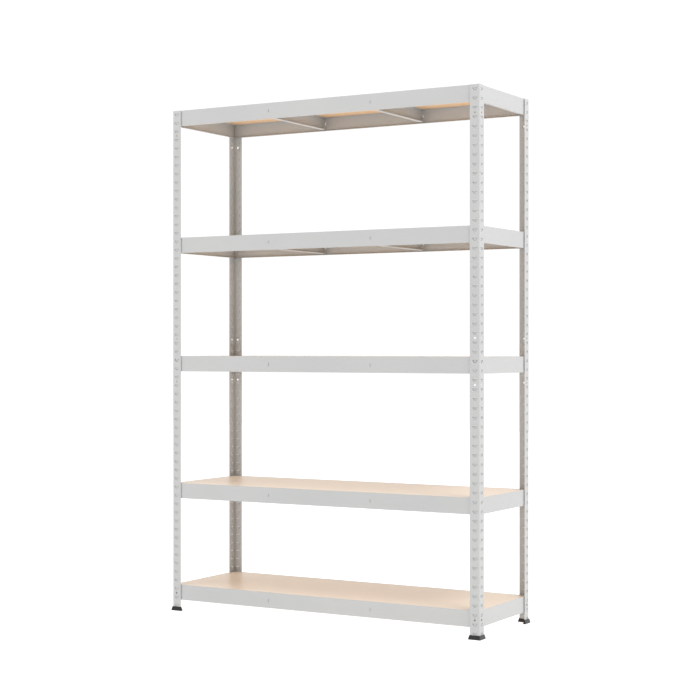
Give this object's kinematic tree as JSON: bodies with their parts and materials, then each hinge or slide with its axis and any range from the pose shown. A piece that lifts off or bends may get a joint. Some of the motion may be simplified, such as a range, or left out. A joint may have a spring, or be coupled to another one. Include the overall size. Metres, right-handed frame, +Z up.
{
  "type": "boltless steel shelving",
  "caption": "Free-standing slotted-angle rack: pressed beams hook into split angle uprights and carry loose fibreboard shelves.",
  "frame": {"origin": "on the floor under the middle of the rack", "axes": "+Z up, +X to the right along the long beams, +Y to the back"},
  "size_m": [1.211, 0.397, 1.7725],
  "materials": {
    "powder_coat": "satin white-grey powder coat",
    "zinc": "matt zinc plate",
    "black_plastic": "moulded, satin",
    "fibreboard": "raw smooth fibreboard"
  },
  "bodies": {
    "uprights": {"post_lower_front_left": "powder_coat", "post_upper_front_left": "powder_coat", "joiner_front_left": "zinc", "foot_front_left": "black_plastic", "post_lower_front_right": "powder_coat", "post_upper_front_right": "powder_coat", "joiner_front_right": "zinc", "foot_front_right": "black_plastic", "post_lower_back_right": "powder_coat", "post_upper_back_right": "powder_coat", "joiner_back_right": "zinc", "foot_back_right": "black_plastic", "post_lower_back_left": "powder_coat", "post_upper_back_left": "powder_coat", "joiner_back_left": "zinc", "foot_back_left": "black_plastic"},
    "level_1_frame": {"level_1_front_beam": "powder_coat", "level_1_back_beam": "powder_coat", "level_1_left_beam": "powder_coat", "level_1_right_beam": "powder_coat", "level_1_left_crossbar": "powder_coat", "level_1_right_crossbar": "powder_coat"},
    "level_1_shelf": {"level_1_board": "fibreboard"},
    "level_2_frame": {"level_2_front_beam": "powder_coat", "level_2_back_beam": "powder_coat", "level_2_left_beam": "powder_coat", "level_2_right_beam": "powder_coat", "level_2_left_crossbar": "powder_coat", "level_2_right_crossbar": "powder_coat"},
    "level_2_shelf": {"level_2_board": "fibreboard"},
    "level_3_frame": {"level_3_front_beam": "powder_coat", "level_3_back_beam": "powder_coat", "level_3_left_beam": "powder_coat", "level_3_right_beam": "powder_coat", "level_3_left_crossbar": "powder_coat", "level_3_right_crossbar": "powder_coat"},
    "level_3_shelf": {"level_3_board": "fibreboard"},
    "level_4_frame": {"level_4_front_beam": "powder_coat", "level_4_back_beam": "powder_coat", "level_4_left_beam": "powder_coat", "level_4_right_beam": "powder_coat", "level_4_left_crossbar": "powder_coat", "level_4_right_crossbar": "powder_coat"},
    "level_4_shelf": {"level_4_board": "fibreboard"},
    "level_5_frame": {"level_5_front_beam": "powder_coat", "level_5_back_beam": "powder_coat", "level_5_left_beam": "powder_coat", "level_5_right_beam": "powder_coat", "level_5_left_crossbar": "powder_coat", "level_5_right_crossbar": "powder_coat"},
    "level_5_shelf": {"level_5_board": "fibreboard"}
  },
  "joints": [
    {"name": "level_1_unhook", "type": "slide", "parent": "uprights", "child": "level_1_frame", "axis": [0, 0, 1], "range_m": [0, 0.008]},
    {"name": "level_1_board_lift", "type": "slide", "parent": "level_1_frame", "child": "level_1_shelf", "axis": [0, 0, 1], "range_m": [0, 0.25]},
    {"name": "level_2_unhook", "type": "slide", "parent": "uprights", "child": "level_2_frame", "axis": [0, 0, 1], "range_m": [0, 0.008]},
    {"name": "level_2_board_lift", "type": "slide", "parent": "level_2_frame", "child": "level_2_shelf", "axis": [0, 0, 1], "range_m": [0, 0.25]},
    {"name": "level_3_unhook", "type": "slide", "parent": "uprights", "child": "level_3_frame", "axis": [0, 0, 1], "range_m": [0, 0.008]},
    {"name": "level_3_board_lift", "type": "slide", "parent": "level_3_frame", "child": "level_3_shelf", "axis": [0, 0, 1], "range_m": [0, 0.25]},
    {"name": "level_4_unhook", "type": "slide", "parent": "uprights", "child": "level_4_frame", "axis": [0, 0, 1], "range_m": [0, 0.008]},
    {"name": "level_4_board_lift", "type": "slide", "parent": "level_4_frame", "child": "level_4_shelf", "axis": [0, 0, 1], "range_m": [0, 0.25]},
    {"name": "level_5_unhook", "type": "slide", "parent": "uprights", "child": "level_5_frame", "axis": [0, 0, 1], "range_m": [0, 0.008]},
    {"name": "level_5_board_lift", "type": "slide", "parent": "level_5_frame", "child": "level_5_shelf", "axis": [0, 0, 1], "range_m": [0, 0.25]}
  ]
}
